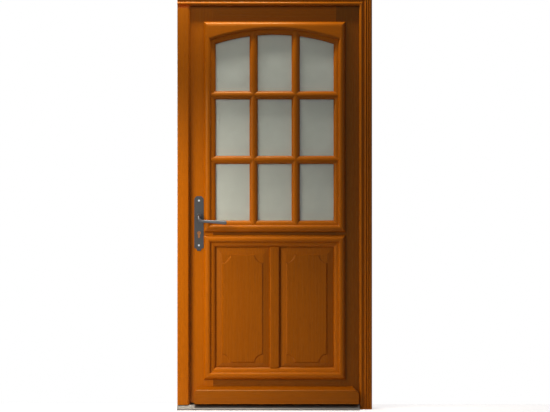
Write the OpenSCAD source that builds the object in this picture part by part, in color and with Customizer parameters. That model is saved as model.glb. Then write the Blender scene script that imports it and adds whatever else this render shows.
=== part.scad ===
// Glazed entrance door in its frame, inward opening, hinges on the right seen from outside.
// Millimetres. Z up, outside face towards -Y, origin at the middle of the sill underside.

/* [Frame] */
// overall width of the frame
frame_w = 946; // [920:1:980]
// overall height of the frame
frame_h = 2024; // [1990:1:2060]
// depth of the frame in the wall
frame_d = 72; // [72:1:80]
// face width of jambs and head, outer edge to lip edge
lip_w = 61; // [60:0.5:64]
// width of the timber behind the lip
rebate_w = 46; // [44:0.5:48]
// thickness of the lip that stops the leaf
lip_t = 20; // [20:0.5:22]
// height of the sill profile
sill_h = 24; // [22:0.5:28]
// how far the sill nose stands in front of the frame
sill_nose = 26; // [20:1:32]
// width of the cover strip on the lock jamb
strip_w = 56; // [50:0.5:60]
// thickness of the cover strip
strip_t = 16; // [12:0.5:18]

/* [Leaf] */
// thickness of stiles and rails
leaf_t = 48; // [48:0.5:52]
// air between the leaf edge and the rebate
edge_gap = 3; // [2.8:0.1:4]
// air between the lip and the leaf, filled by the seal
seal_gap = 4; // [3.5:0.1:5]
// air under the leaf, above the sill
foot_gap = 6; // [5:0.5:8]
// face width of the stiles
stile_w = 124; // [122:1:128]
// height of the top rail
top_rail_h = 137; // [134:1:144]
// height of the lock rail
lock_rail_h = 105; // [100:1:112]
// height of the lock rail's underside above the sill underside
lock_rail_z = 801; // [795:1:808]
// height of the bottom rail
bottom_rail_h = 158.5; // [154:0.5:166]
// width of the upright between the two panels
mullion_w = 51; // [48:1:60]
// width of the rebate that takes glass, panels and moulding
rebate_lap = 12; // [11:0.5:13]
// thickness of the glass unit and of the panel edges
infill_t = 20; // [20:0.5:21]

/* [Mouldings] */
// face width of the planted moulding
mould_w = 57; // [54:0.5:60]
// height of the moulding's crest above the stile face
mould_h = 16; // [14:0.5:18]
// distance from the sight line to the crest
crest_u = 36; // [34:0.5:38]
// radius of the inner roll
roll_r = 14; // [12:0.5:14]
// height of the rounded nose beside the sight line
nose_h = 3.5; // [3:0.25:4]
// radius of the arched sight line
arch_r = 944; // [900:2:1000]
// width of the glazing bars
bar_w = 40; // [36:1:46]
// height of the outer glazing bars above the glass
bar_h = 19; // [18.5:0.5:21]
// width of the panel bevel at the sides
bevel_side = 31; // [26:1:36]
// width of the panel bevel at the top
bevel_top = 37; // [28:1:42]
// width of the panel bevel at the foot
bevel_foot = 23; // [20:1:36]
// rise of the bevel above the panel edge
bevel_h = 7; // [5:0.5:8]
// rise of the panel field above the bevel
field_h = 4; // [2:0.5:5]
// width of the chamfer round the panel field
field_edge = 5; // [2:0.5:6]
// radius of the hollow corners of the panel field
field_r = 39; // [24:1:44]

/* [Weatherboard] */
// height of the weatherboard
weather_h = 80; // [70:1:90]
// how far it stands out from the leaf
weather_d = 45; // [36:1:50]
// rise of its sloping top
weather_slope = 12; // [8:1:20]

/* [Hardware] */
// lock axis behind the leaf edge
backset = 55; // [52:0.5:58]
// lever axis above the sill underside
hub_z = 942; // [938:1:946]
// lever axis to cylinder axis
centres = 85; // [83:0.5:87]
// width of the handle plates
plate_w = 46; // [40:1:48]
// thickness of the handle plates
plate_t = 3; // [2:0.5:4]
// how far the lever grip stands out from the plate
grip_out = 50; // [44:1:58]
// reach of the lever from its axis to its end
grip_len = 137; // [120:1:140]
// drop of the lever's swan neck
grip_drop = 28; // [20:1:32]
// width of the square spindle
spindle_w = 8; // [7:0.5:8]
// travel of the latch
latch_out = 12; // [10:0.5:12]
// height of each hinge
hinge_h = 120; // [110:2:130]
// knuckle radius of the hinges
knuckle_r = 8; // [7.5:0.1:8]
// hinge pin radius
pin_r = 5; // [4:0.1:5]
// radius of the fixing holes through the jambs
fixing_r = 5; // [4:0.25:6]

/* [Clearances] */
// play between a tenon and its mortise
joint_play = 0.1; // [0.05:0.05:0.3]
// running play of pins and bearings on the radius
run_play = 0.05; // [0.02:0.01:0.1]
// play of a fixed piece in its hole on the radius
fix_play = 0.02; // [0.01:0.01:0.05]
// play of moving metal pieces past their neighbours
slide_play = 0.3; // [0.3:0.05:0.4]

/* [Hidden] */
$fn = 48;
wood = [0.66, 0.39, 0.13];
steel = [0.36, 0.37, 0.39];
zinc = [0.75, 0.76, 0.78];
brass = [0.8, 0.6, 0.25];
rubber = [0.1, 0.1, 0.1];
glass = [0.7, 0.75, 0.72];
alu = [0.62, 0.6, 0.58];

// frame lines
fx = frame_w / 2;
y_out = -frame_d / 2;
y_in = frame_d / 2;
lip_x = fx - lip_w;
reb_x = fx - rebate_w;
lip_z = frame_h - lip_w;
reb_z = frame_h - rebate_w;
lip_y = y_out + lip_t;
jamb_set_back = 8;
lock_lip_y = y_out + jamb_set_back;

// reeded face: a roll at the lip edge, then reeds across the face
face_roll_r = lip_t / 2;
reed_r = 4.5;
reed_u = [31, 42, 53];
reed_floor = 5;
face_fillet = 4;

// cover strip
strip_edge = 0.5;
strip_r = 6;
strip_end_r = 8;
strip_short = 14;

// seal kerf in the back of the lip
kerf_u = 5;
kerf_w = 3;
kerf_d = 5;

// seals: a flat base with a low bulb in the rebate, a base with a blade on the sill
seal_u = 2.5;
seal_w = 8.5;
bulb_r = 1.7;
bulb_room = 2;
bulb_spread = 2.5;
blade_base_w = 10;
blade_base_t = 2;
blade_w = 4;
blade_y = 6;

// sill walls
sill_wall = 2.5;
sill_lip = 6;

// leaf lines: y_face is the outside face, y_back the inside face
leaf_x = reb_x - edge_gap;
leaf_z0 = sill_h + foot_gap;
leaf_z1 = reb_z - edge_gap;
y_face = lip_y + seal_gap;
y_back = y_face + leaf_t;
y_mid = (y_face + y_back) / 2;
back_lip = (leaf_t - infill_t) / 2;
y_g0 = y_face + back_lip;
y_g1 = y_back - back_lip;
stile_x = leaf_x - stile_w;
sight_x = stile_x - rebate_lap;
top_z = leaf_z1 - top_rail_h;
lock_z0 = lock_rail_z;
lock_z1 = lock_rail_z + lock_rail_h;
bottom_z = leaf_z0 + bottom_rail_h;
glass_z0 = lock_z1 + rebate_lap;
panel_z0 = bottom_z + rebate_lap;
panel_z1 = lock_z0 - rebate_lap;

// arch: the crown of the sight line sits one lap below the top rail
crown_z = top_z - rebate_lap - 1;
arch_z = crown_z - arch_r;
spring_z = arch_z + sqrt(arch_r * arch_r - sight_x * sight_x);
crest_arch = arch_r + crest_u;
crest_x = sight_x + crest_u;
crest_spring = arch_z + sqrt(crest_arch * crest_arch - crest_x * crest_x);
cut_slope = (crest_spring - spring_z) / crest_u;
board_z = crown_z + mould_w + 4;
edge_h = 4;
outer_r = (pow(mould_w - crest_u, 2) + pow(mould_h - edge_h, 2)) / (2 * (mould_h - edge_h));
foot_u = crest_u - roll_r;
nose_drop = 8;
nose_r = (foot_u * foot_u + pow(nose_h + nose_drop, 2)) / (2 * (nose_h + nose_drop));
arch_fn = 180;

// glazing bars
pane_w = (2 * sight_x - 2 * bar_w) / 3;
bar_x = pane_w / 2 + bar_w / 2;
pane_h = (crown_z - glass_z0 - 2 * bar_w) / 3;
bar_z1 = glass_z0 + pane_h + bar_w / 2;
bar_z2 = bar_z1 + pane_h + bar_w;

// lock lines
lock_x = -leaf_x + backset;
key_z = hub_z - centres;
face_t = 3;
case_x0 = -leaf_x + face_t;
case_l = 80;
case_down = 125;
case_up = 55;
case_x1 = case_x0 + case_l;
case_z0 = hub_z - case_down;
case_z1 = hub_z + case_up;
case_w = 16;
wall = 1.5;
bolt_w = 12;
latch_down = 12;
latch_up = 16;
latch_z0 = hub_z - latch_down;
latch_z1 = hub_z + latch_up;
bolt_up = 17;
bolt_h = 20;
bolt_l = 44;
bolt_inset = 0.2;
bolt_z0 = key_z + bolt_up;
bolt_z1 = bolt_z0 + bolt_h;
bolt_x0 = -leaf_x + bolt_inset;
hub_r = 9;
face_w = 20;
face_over = 35;
face_screw = 25;
strike_w = 24;
strike_t = 2;
strike_foot = 8;
strike_play = 2;
strike_depth = 27;
euro_r = 8.5;
euro_leg_r = 5;
euro_leg = 19.5;
plug_r = 6.5;
plate_up = 95;
plate_down = 172;
plate_z1 = hub_z + plate_up;
plate_z0 = hub_z - plate_down;
plate_cut_x = 11;
plate_cut_z = 13;
plate_foot_r = 14;
screw_up = 73;
screw_down = 145;
screw_z1 = hub_z + screw_up;
screw_z0 = hub_z - screw_down;
plate_bolt_r = 2.5;
bolt_head_r = 4.5;
bolt_head_h = 2.5;
y_plate = y_face - plate_t;
y_plate2 = y_back + plate_t;

// hinges
hinge_end = 220;
hinge_z = [leaf_z0 + hinge_end, (leaf_z0 + leaf_z1) / 2, leaf_z1 - hinge_end];
hinge_x = (leaf_x + reb_x) / 2;
hinge_y = y_back + knuckle_r + 1;
hinge_t = 2.5;
hinge_in = 32;
washer_t = 1.2;
pin_short = 4;
hinge_screw_in = 11;
hinge_screw_pitch = 42;

// countersunk wood screws
wood_screw_l = 28;
screw_r = 1.8;
screw_head_r = 4.2;
screw_head_h = 2.4;

// fixings to the wall
fix_foot = 120;
fix_head = 144;
fix_step = 460;
fix_z = [fix_foot, fix_foot + fix_step, frame_h - fix_head - fix_step, frame_h - fix_head];

// joinery
tenon_t = 14;
tenon_l = 60;
short_tenon_l = 22;
shoulder = 18;
panel_play = 4;
mullion_r = 10;
groove = 9;

// box between two corners
module box(a, b) {
  translate(a) cube(b - a);
}

// flat outline in X and Z, given depth in Y
module slab(y0, y1) {
  translate([0, y1, 0]) rotate([90, 0, 0]) linear_extrude(y1 - y0) children();
}

// outline in Y and Z, run along X
module run_x(x0, x1) {
  translate([x0, 0, 0]) rotate([90, 0, 90]) linear_extrude(x1 - x0) children();
}

// outline in X and Y, run along Z
module run_z(z0, z1) {
  translate([0, 0, z0]) linear_extrude(z1 - z0) children();
}

// round bar along X, Y
module rod_x(x0, x1, y, z, r) {
  translate([x0, y, z]) rotate([0, 90, 0]) cylinder(h = x1 - x0, r = r);
}
module rod_y(y0, y1, x, z, r) {
  translate([x, y0, z]) rotate([-90, 0, 0]) cylinder(h = y1 - y0, r = r);
}

// profile of the reeded frame face: across from the lip edge, then Y
module frame_profile() {
  translate([0, y_out + face_roll_r]) square([lip_w, lip_t - face_roll_r]);
  translate([face_roll_r, y_out + reed_floor]) square([lip_w - face_roll_r, face_roll_r - reed_floor + 1]);
  translate([face_roll_r, y_out + face_roll_r]) circle(r = face_roll_r);
  for (u = reed_u) {
    translate([u, y_out + reed_r]) circle(r = reed_r);
  }
  translate([lip_w - face_fillet, y_out + reed_floor / 2]) square([face_fillet, reed_floor]);
  translate([lip_w - rebate_w, lip_y - 1]) square([rebate_w, frame_d - lip_t + 1]);
}

// kerf for the seal in the back of the lip
module kerf() {
  translate([kerf_u, lip_y - kerf_d]) square([kerf_w, kerf_d + 1]);
}

module seal_profile() {
  translate([kerf_u + slide_play, lip_y - kerf_d + slide_play])
    square([kerf_w - 2 * slide_play, kerf_d]);
  translate([seal_u, lip_y]) square([seal_w, seal_gap - bulb_room]);
  translate([seal_u + seal_w / 2, lip_y + seal_gap - bulb_room]) scale([bulb_spread, 1]) intersection() {
    circle(r = bulb_r);
    translate([-bulb_r, 0]) square([2 * bulb_r, bulb_r]);
  }
}

// planted moulding: u outwards from the sight line, h up from the stile face
module moulding_profile() {
  nose(rebate_lap, back_lip);
  roll(0);
  outer_edge();
}
module nose_round() {
  translate([foot_u, nose_h - nose_r]) circle(r = nose_r, $fn = 96);
}
// rounded nose with a lip that reaches down into the rebate
module nose(lap, deep) {
  intersection() {
    nose_round();
    union() {
      translate([0, -deep]) square([lap, deep + 1]);
      square([foot_u + 1, nose_h]);
    }
  }
}
// roll from its foot to the crest, and past it where it is let into a board
module roll(past) {
  translate([foot_u, 0]) square([roll_r + past, mould_h - roll_r]);
  intersection() {
    translate([crest_u, mould_h - roll_r]) circle(r = roll_r);
    translate([foot_u, mould_h - roll_r]) square([roll_r + past, roll_r]);
  }
}
module outer_edge() {
  intersection() {
    translate([crest_u, mould_h - outer_r]) circle(r = outer_r, $fn = 96);
    translate([crest_u, 0]) square([mould_w - crest_u, mould_h]);
  }
}

// the moulding run up a side or along a rail; side is -1 left, 1 right, -1 below, 1 above
module mould_z(side, z0, z1) {
  translate([side * sight_x, y_face, 0]) run_z(z0, z1)
    mirror([side < 0 ? 1 : 0, 0]) mirror([0, 1]) moulding_profile();
}
module mould_x(side, z, x0, x1) {
  translate([0, y_face, z]) run_x(x0, x1)
    mirror([0, side < 0 ? 1 : 0]) rotate(90) moulding_profile();
}

// four-cornered keep area for a mitred length
module keep(points) {
  slab(y_face - mould_h - 1, y_g0 + 1) polygon(points);
}

// tapered block: rectangle at y0, smaller at y1 by the bevel widths
module tapered(x0, x1, z0, z1, y0, y1) {
  intersection() {
    run_z(z0, z1) polygon([[x0, y0], [x1, y0], [x1 - bevel_side, y1], [x0 + bevel_side, y1]]);
    run_x(x0, x1) polygon([[y0, z0], [y0, z1], [y1, z1 - bevel_top], [y1, z0 + bevel_foot]]);
  }
}

// block through the panel with the edges of both faces chamfered: across, then Y
module chamfered(a0, a1, y0, y1) {
  polygon([[a0 + field_edge, y0], [a1 - field_edge, y0], [a1, y0 + field_h], [a1, y1 - field_h],
           [a1 - field_edge, y1], [a0 + field_edge, y1], [a0, y1 - field_h], [a0, y0 + field_h]]);
}

// cutter for a hollow corner, splayed at both faces
module hollow_corner(x, z, y0, y1) {
  splay = field_edge / field_h;
  rod_y(y0 - 1, y1 + 1, x, z, field_r);
  for (m = [0, 1]) {
    translate([x, m == 0 ? y0 : y1, z]) mirror([0, m, 0]) rotate([-90, 0, 0]) translate([0, 0, -1])
      cylinder(h = field_h + 1, r1 = field_r + field_edge + splay, r2 = field_r);
  }
}

// countersunk wood screw with its head at x, pointing along dir
module wood_screw(x, y, z, dir, grow) {
  translate([x, y, z]) rotate([0, dir * 90, 0]) union() {
    cylinder(h = screw_head_h + grow, r1 = screw_head_r + grow, r2 = screw_r + grow);
    cylinder(h = wood_screw_l + grow, r = screw_r + grow);
  }
}
module hinge_screws(x, dir, grow) {
  for (z = hinge_z) {
    for (k = [-1, 0, 1]) {
      wood_screw(x, y_back - hinge_screw_in * (k == 0 ? 1 : 2), z + k * hinge_screw_pitch, dir, grow);
    }
  }
}
module strike_screw_set(grow) {
  wood_screw(-reb_x, y_mid, case_z0 + strike_foot + latch_down, -1, grow);
  wood_screw(-reb_x, y_mid, case_z1 - latch_down, -1, grow);
}
module face_screw_set(grow) {
  wood_screw(-leaf_x, y_mid, case_z0 - face_screw, 1, grow);
  wood_screw(-leaf_x, y_mid, case_z1 + face_screw, 1, grow);
}

// frame
module fixing_holes(x0, x1) {
  for (z = fix_z) {
    rod_x(x0, x1, y_mid, z, fixing_r);
  }
}

module frame_head() {
  color(wood) intersection() {
    run_x(-fx, fx) translate([0, lip_z]) mirror([1, -1]) difference() {
      frame_profile();
      kerf();
    }
    slab(y_out - 1, y_in + 1)
      polygon([[-fx, lip_z], [lip_x, lip_z], [fx, frame_h], [-fx, frame_h]]);
  }
}

module frame_hinge_jamb() {
  color(wood) difference() {
    intersection() {
      run_z(0, frame_h) translate([lip_x, 0]) difference() {
        frame_profile();
        kerf();
      }
      slab(y_out - 1, y_in + 1) polygon([[lip_x, 0], [fx, 0], [fx, frame_h], [lip_x, lip_z]]);
    }
    for (z = hinge_z) {
      box([reb_x - 1, y_back - hinge_in, z - hinge_h / 2],
          [reb_x + hinge_t, y_in + 1, z + hinge_h / 2]);
    }
    hinge_screws(reb_x, 1, fix_play);
    fixing_holes(reb_x - 1, fx + 1);
  }
}

module strike_holes(x0, x1) {
  b = (bolt_w + strike_play) / 2;
  box([x0, y_mid - b, latch_z0 - strike_play], [x1, y_mid + b, latch_z1 + strike_play]);
  box([x0, y_mid - b, bolt_z0 - strike_play], [x1, y_mid + b, bolt_z1 + strike_play]);
}

module frame_lock_jamb() {
  color(wood) difference() {
    union() {
      box([-fx, lock_lip_y, sill_h], [-lip_x, lip_y, lip_z]);
      box([-fx, lip_y, sill_h], [-reb_x, y_in, reb_z]);
    }
    run_z(sill_h - 1, lip_z + 1) translate([-lip_x, 0]) mirror([1, 0]) kerf();
    box([-reb_x - strike_t, y_mid - strike_w / 2, case_z0 + strike_foot],
        [-reb_x + 1, y_mid + strike_w / 2, case_z1]);
    strike_holes(-reb_x - strike_depth, -reb_x + 1);
    strike_screw_set(fix_play);
    fixing_holes(-fx - 1, -reb_x + 1);
  }
}

module strike_plate() {
  color(zinc) difference() {
    box([-reb_x - strike_t, y_mid - strike_w / 2, case_z0 + strike_foot],
        [-reb_x, y_mid + strike_w / 2, case_z1]);
    strike_holes(-reb_x - strike_t - 1, -reb_x + 1);
    strike_screw_set(fix_play);
  }
}

module lock_jamb_cover_strip() {
  x0 = -fx + strip_edge;
  x1 = x0 + strip_w;
  y0 = lock_lip_y - strip_t;
  top = lip_z - strip_short;
  color(wood) intersection() {
    run_z(sill_h, top) union() {
      translate([x0, y0 + strip_r]) square([strip_w, strip_t - strip_r]);
      translate([x0 + strip_r, y0]) square([strip_w - 2 * strip_r, strip_r + 1]);
      for (x = [x0 + strip_r, x1 - strip_r]) {
        translate([x, y0 + strip_r]) circle(r = strip_r);
      }
    }
    slab(y0 - 1, lock_lip_y + 1) union() {
      translate([x0, sill_h]) square([strip_w, top - sill_h - strip_end_r]);
      translate([x0 + strip_end_r, sill_h]) square([strip_w - 2 * strip_end_r, top - sill_h]);
      for (x = [x0 + strip_end_r, x1 - strip_end_r]) {
        translate([x, top - strip_end_r]) circle(r = strip_end_r);
      }
    }
  }
}

module threshold() {
  front = y_out - sill_nose;
  color(alu) difference() {
    run_x(-fx, reb_x) difference() {
      polygon([[y_in, 0], [y_in, sill_h], [y_out - sill_wall, sill_h], [front, sill_lip], [front, 0]]);
      translate([y_face, sill_wall]) square([y_in - y_face - sill_wall, sill_h - 2 * sill_wall]);
      polygon([[y_face - sill_wall, sill_wall], [y_face - sill_wall, sill_h - sill_wall],
               [y_out - sill_wall + 1, sill_h - sill_wall], [front + 2 * sill_wall, sill_lip - 1],
               [front + 2 * sill_wall, sill_wall]]);
    }
    box([lip_x, front - 1, -1], [reb_x + 1, lip_y, sill_h + 1]);
  }
}

module threshold_seal() {
  color(rubber) run_x(-reb_x + 1, reb_x - 1) translate([y_face + blade_y, sill_h]) {
    square([blade_base_w, blade_base_t]);
    translate([(blade_base_w - blade_w) / 2, 0]) square([blade_w, foot_gap - slide_play]);
  }
}

module frame_seals() {
  cut = lip_z - 1;
  color(rubber) union() {
    run_z(sill_h, cut) translate([lip_x, 0]) seal_profile();
    run_z(sill_h, cut) translate([-lip_x, 0]) mirror([1, 0]) seal_profile();
    run_x(-lip_x, lip_x) translate([0, lip_z]) mirror([1, -1]) seal_profile();
  }
}

// hinges
module hinge_frame_leaf(z) {
  half = hinge_h / 2;
  color(steel) difference() {
    union() {
      box([reb_x, y_back - hinge_in, z - half], [reb_x + hinge_t, y_back, z + half]);
      box([reb_x, y_back, z - half], [reb_x + hinge_t, hinge_y, z - washer_t / 2]);
      translate([hinge_x, hinge_y, z - half]) cylinder(h = half - washer_t / 2, r = knuckle_r);
    }
    translate([hinge_x, hinge_y, z - half - 1]) cylinder(h = hinge_h, r = pin_r + fix_play);
    hinge_screws(reb_x, 1, fix_play);
  }
}
module hinge_frame_leaf_top() {
  hinge_frame_leaf(hinge_z[2]);
}
module hinge_frame_leaf_middle() {
  hinge_frame_leaf(hinge_z[1]);
}
module hinge_frame_leaf_bottom() {
  hinge_frame_leaf(hinge_z[0]);
}

module hinge_door_leaf(z) {
  half = hinge_h / 2;
  low = z + washer_t / 2 + slide_play;
  color(steel) difference() {
    union() {
      box([leaf_x - hinge_t, y_back - hinge_in, z - half], [leaf_x, y_back, z + half]);
      box([leaf_x - hinge_t, y_back, low], [leaf_x, hinge_y, z + half]);
      translate([hinge_x, hinge_y, low]) cylinder(h = z + half - low, r = knuckle_r);
    }
    translate([hinge_x, hinge_y, z - half]) cylinder(h = hinge_h - pin_short + 1, r = pin_r + run_play);
    hinge_screws(leaf_x, -1, fix_play);
  }
}
module hinge_door_leaf_top() {
  hinge_door_leaf(hinge_z[2]);
}
module hinge_door_leaf_middle() {
  hinge_door_leaf(hinge_z[1]);
}
module hinge_door_leaf_bottom() {
  hinge_door_leaf(hinge_z[0]);
}

module hinge_pins() {
  color(zinc) for (z = hinge_z) {
    translate([hinge_x, hinge_y, z - hinge_h / 2]) cylinder(h = hinge_h - pin_short, r = pin_r);
  }
}

module hinge_washers() {
  color(brass) for (z = hinge_z) {
    translate([hinge_x, hinge_y, z - washer_t / 2]) difference() {
      cylinder(h = washer_t, r = knuckle_r);
      translate([0, 0, -1]) cylinder(h = washer_t + 2, r = pin_r + fix_play);
    }
  }
}

module frame_screws() {
  color(zinc) union() {
    hinge_screws(reb_x, 1, 0);
    strike_screw_set(0);
  }
}

module leaf_screws() {
  color(zinc) union() {
    hinge_screws(leaf_x, -1, 0);
    face_screw_set(0);
  }
}

// leaf timber
module stile(side) {
  run_z(leaf_z0, leaf_z1) mirror([side < 0 ? 1 : 0, 0]) union() {
    translate([stile_x, y_face]) square([stile_w, leaf_t]);
    translate([sight_x, y_g1]) square([rebate_lap + 1, back_lip]);
  }
}

// a tenon on both ends of a rail; grow cuts its mortise
module tenons(z0, z1, len, grow) {
  for (s = [-1, 1]) {
    box([s > 0 ? stile_x - 1 : -stile_x - len - grow, y_mid - tenon_t / 2 - grow, z0 + shoulder - grow],
        [s > 0 ? stile_x + len + grow : -stile_x + 1, y_mid + tenon_t / 2 + grow, z1 - shoulder + grow]);
  }
}
module all_tenons(grow) {
  tenons(top_z, leaf_z1, tenon_l, grow);
  tenons(lock_z0, lock_z1, short_tenon_l, grow);
  tenons(leaf_z0, bottom_z, tenon_l, grow);
}

module hinge_stile() {
  color(wood) difference() {
    stile(1);
    all_tenons(joint_play);
    for (z = hinge_z) {
      box([leaf_x - hinge_t, y_back - hinge_in, z - hinge_h / 2],
          [leaf_x + 1, y_back + 1, z + hinge_h / 2]);
    }
    hinge_screws(leaf_x, -1, fix_play);
  }
}

module euro(y0, y1, grow) {
  rod_y(y0, y1, lock_x, key_z, euro_r + grow);
  rod_y(y0, y1, lock_x, key_z - euro_leg, euro_leg_r + grow);
  box([lock_x - euro_leg_r - grow, y0, key_z - euro_leg], [lock_x + euro_leg_r + grow, y1, key_z]);
}

module bolt_holes(y0, y1, r) {
  rod_y(y0, y1, lock_x, screw_z0, r);
  rod_y(y0, y1, lock_x, screw_z1, r);
}

module lock_stile() {
  c = joint_play;
  color(wood) difference() {
    stile(-1);
    all_tenons(joint_play);
    box([-leaf_x - 1, y_mid - face_w / 2, case_z0 - face_over],
        [case_x0, y_mid + face_w / 2, case_z1 + face_over]);
    box([case_x0 - 1, y_mid - case_w / 2 - c, case_z0 - c],
        [case_x1 + c, y_mid + case_w / 2 + c, case_z1 + c]);
    rod_y(y_face - 1, y_back + 1, lock_x, hub_z, hub_r + 1);
    euro(y_face - 1, y_back + 1, slide_play);
    bolt_holes(y_face - 1, y_back + 1, plate_bolt_r + fix_play);
    face_screw_set(fix_play);
  }
}

module rail(z0, z1, lip0, lip1) {
  box([-stile_x, y_face, z0], [stile_x, y_g1, z1]);
  box([-sight_x, y_g1, z0 - lip0], [sight_x, y_back, z1 + lip1]);
}

module top_rail() {
  color(wood) union() {
    tenons(top_z, leaf_z1, tenon_l, 0);
    box([-stile_x, y_face, top_z], [stile_x, y_g1, leaf_z1]);
    difference() {
      box([-sight_x, y_g1, spring_z], [sight_x, y_back, leaf_z1]);
      rod_y(y_g1 - 1, y_back + 1, 0, arch_z, arch_r, $fn = arch_fn);
    }
  }
}
module lock_rail() {
  color(wood) union() {
    tenons(lock_z0, lock_z1, short_tenon_l, 0);
    rail(lock_z0, lock_z1, rebate_lap, rebate_lap);
  }
}
module bottom_rail() {
  color(wood) union() {
    tenons(leaf_z0, bottom_z, tenon_l, 0);
    rail(leaf_z0, bottom_z, 0, rebate_lap);
  }
}

module panel_mullion() {
  m = mullion_w / 2;
  g = groove;
  r = mullion_r;
  color(wood) difference() {
    union() {
      run_z(panel_z0, panel_z1) union() {
        translate([-m + r, y_face]) square([mullion_w - 2 * r, leaf_t]);
        translate([-m, y_face + r]) square([mullion_w, leaf_t - 2 * r]);
        for (sx = [-1, 1]) {
          for (y = [y_face + r, y_back - r]) {
            translate([sx * (m - r), y]) circle(r = r);
          }
        }
      }
      box([-m + g, y_g0, bottom_z], [m - g, y_g1, lock_z0]);
    }
    for (s = [-1, 1]) {
      box([s > 0 ? m - g : -m - 1, y_g0, panel_z0 - 1],
          [s > 0 ? m + 1 : -m + g, y_g1, panel_z1 + 1]);
    }
  }
}

module panel_at(side) {
  x0 = mullion_w / 2;
  x1 = sight_x;
  e = rebate_lap - panel_play;
  fx0 = x0 + bevel_side;
  fx1 = x1 - bevel_side;
  fz0 = panel_z0 + bevel_foot;
  fz1 = panel_z1 - bevel_top;
  y0 = y_g0 - bevel_h - field_h;
  y1 = y_g1 + bevel_h + field_h;
  mirror([side < 0 ? 1 : 0, 0, 0]) union() {
    box([x0 - e, y_g0, panel_z0 - e], [x1 + e, y_g1, panel_z1 + e]);
    tapered(x0, x1, panel_z0, panel_z1, y_g0, y_g0 - bevel_h);
    tapered(x0, x1, panel_z0, panel_z1, y_g1, y_g1 + bevel_h);
    difference() {
      intersection() {
        run_z(fz0, fz1) chamfered(fx0, fx1, y0, y1);
        run_x(fx0, fx1) mirror([1, -1]) chamfered(fz0, fz1, y0, y1);
      }
      for (x = [fx0, fx1]) {
        for (z = [fz0, fz1]) {
          hollow_corner(x, z, y0, y1);
        }
      }
    }
  }
}
module panel_left() {
  color(wood) panel_at(-1);
}
module panel_right() {
  color(wood) panel_at(1);
}

// glazing moulding
g_out_x = sight_x + mould_w;
side_top = spring_z + cut_slope * mould_w;

module glazing_side(side) {
  s = side;
  intersection() {
    mould_z(side, glass_z0 - mould_w - 1, side_top + 1);
    keep([[s * g_out_x, glass_z0 - mould_w], [s * sight_x, glass_z0],
          [s * sight_x, spring_z], [s * g_out_x, side_top]]);
  }
}
module glazing_moulding_left() {
  color(wood) glazing_side(-1);
}
module glazing_moulding_right() {
  color(wood) glazing_side(1);
}
module glazing_moulding_bottom() {
  color(wood) intersection() {
    mould_x(-1, glass_z0, -g_out_x, g_out_x);
    keep([[-g_out_x, glass_z0 - mould_w], [g_out_x, glass_z0 - mould_w],
          [sight_x, glass_z0], [-sight_x, glass_z0]]);
  }
}

// front board of the arched top, rounded along its upper and side edges
board_h = board_z - spring_z;
let_in = 1;
module arch_board() {
  intersection() {
    translate([0, y_face, board_z - mould_w]) run_x(-g_out_x, g_out_x) rotate(90) union() {
      outer_edge();
      translate([crest_u - board_h, 0]) square([board_h, mould_h]);
    }
    translate([0, y_face, 0]) run_z(spring_z, board_z) mirror([0, 1]) union() {
      for (s = [0, 1]) {
        mirror([s, 0]) translate([sight_x, 0]) outer_edge();
      }
      translate([-crest_x, 0]) square([2 * crest_x, mould_h]);
    }
  }
}
// profile carried along the arch, its sight edge on the arch line
module arch_ring() {
  half_turn = 30;
  translate([0, y_face, arch_z]) rotate([90, 0, 0]) rotate([0, 0, 90 - half_turn])
    rotate_extrude(angle = 2 * half_turn, $fn = 2 * arch_fn) translate([arch_r, 0]) children();
}
module glazing_moulding_top() {
  color(wood) intersection() {
    union() {
      difference() {
        arch_board();
        rod_y(y_face - mould_h - 1, y_face + 1, 0, arch_z, crest_arch + let_in, $fn = arch_fn);
      }
      arch_ring() union() {
        nose(rebate_lap - let_in, back_lip - slide_play);
        roll(3 * let_in);
      }
      difference() {
        box([-stile_x, y_face - let_in / 2, spring_z - 1], [stile_x, y_g0, top_z]);
        rod_y(y_face - 1, y_g0 + 1, 0, arch_z, arch_r + rebate_lap - 2 * let_in, $fn = arch_fn);
      }
    }
    keep([[-sight_x, spring_z], [-g_out_x, side_top], [-g_out_x, board_z], [g_out_x, board_z],
          [g_out_x, side_top], [sight_x, spring_z]]);
  }
}

// panel moulding
module panel_side(side) {
  s = side;
  intersection() {
    mould_z(side, panel_z0 - mould_w - 1, panel_z1 + mould_w + 1);
    keep([[s * g_out_x, panel_z0 - mould_w], [s * sight_x, panel_z0],
          [s * sight_x, panel_z1], [s * g_out_x, panel_z1 + mould_w]]);
  }
}
module panel_moulding_left() {
  color(wood) panel_side(-1);
}
module panel_moulding_right() {
  color(wood) panel_side(1);
}
module panel_level(side) {
  z = side < 0 ? panel_z0 : panel_z1;
  intersection() {
    mould_x(side, z, -g_out_x, g_out_x);
    keep([[-g_out_x, z + side * mould_w], [g_out_x, z + side * mould_w],
          [sight_x, z], [-sight_x, z]]);
  }
}
module panel_moulding_top() {
  color(wood) panel_level(1);
}
module panel_moulding_bottom() {
  color(wood) panel_level(-1);
}

// glass unit, rectangular behind the arched timber
pane_x = sight_x + rebate_lap - panel_play;
pane_z0 = lock_z1 + panel_play;
pane_z1 = top_z - panel_play;
pane_t = 4;
spacer_w = 7;
module glass_outer_pane() {
  color(glass, 0.6) box([-pane_x, y_g0, pane_z0], [pane_x, y_g0 + pane_t, pane_z1]);
}
module glass_inner_pane() {
  color(glass, 0.6) box([-pane_x, y_g1 - pane_t, pane_z0], [pane_x, y_g1, pane_z1]);
}
module glass_spacer() {
  color(alu) difference() {
    box([-pane_x, y_g0 + pane_t, pane_z0], [pane_x, y_g1 - pane_t, pane_z1]);
    box([-pane_x + spacer_w, y_g0, pane_z0 + spacer_w],
        [pane_x - spacer_w, y_g1, pane_z1 - spacer_w]);
  }
}

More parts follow.
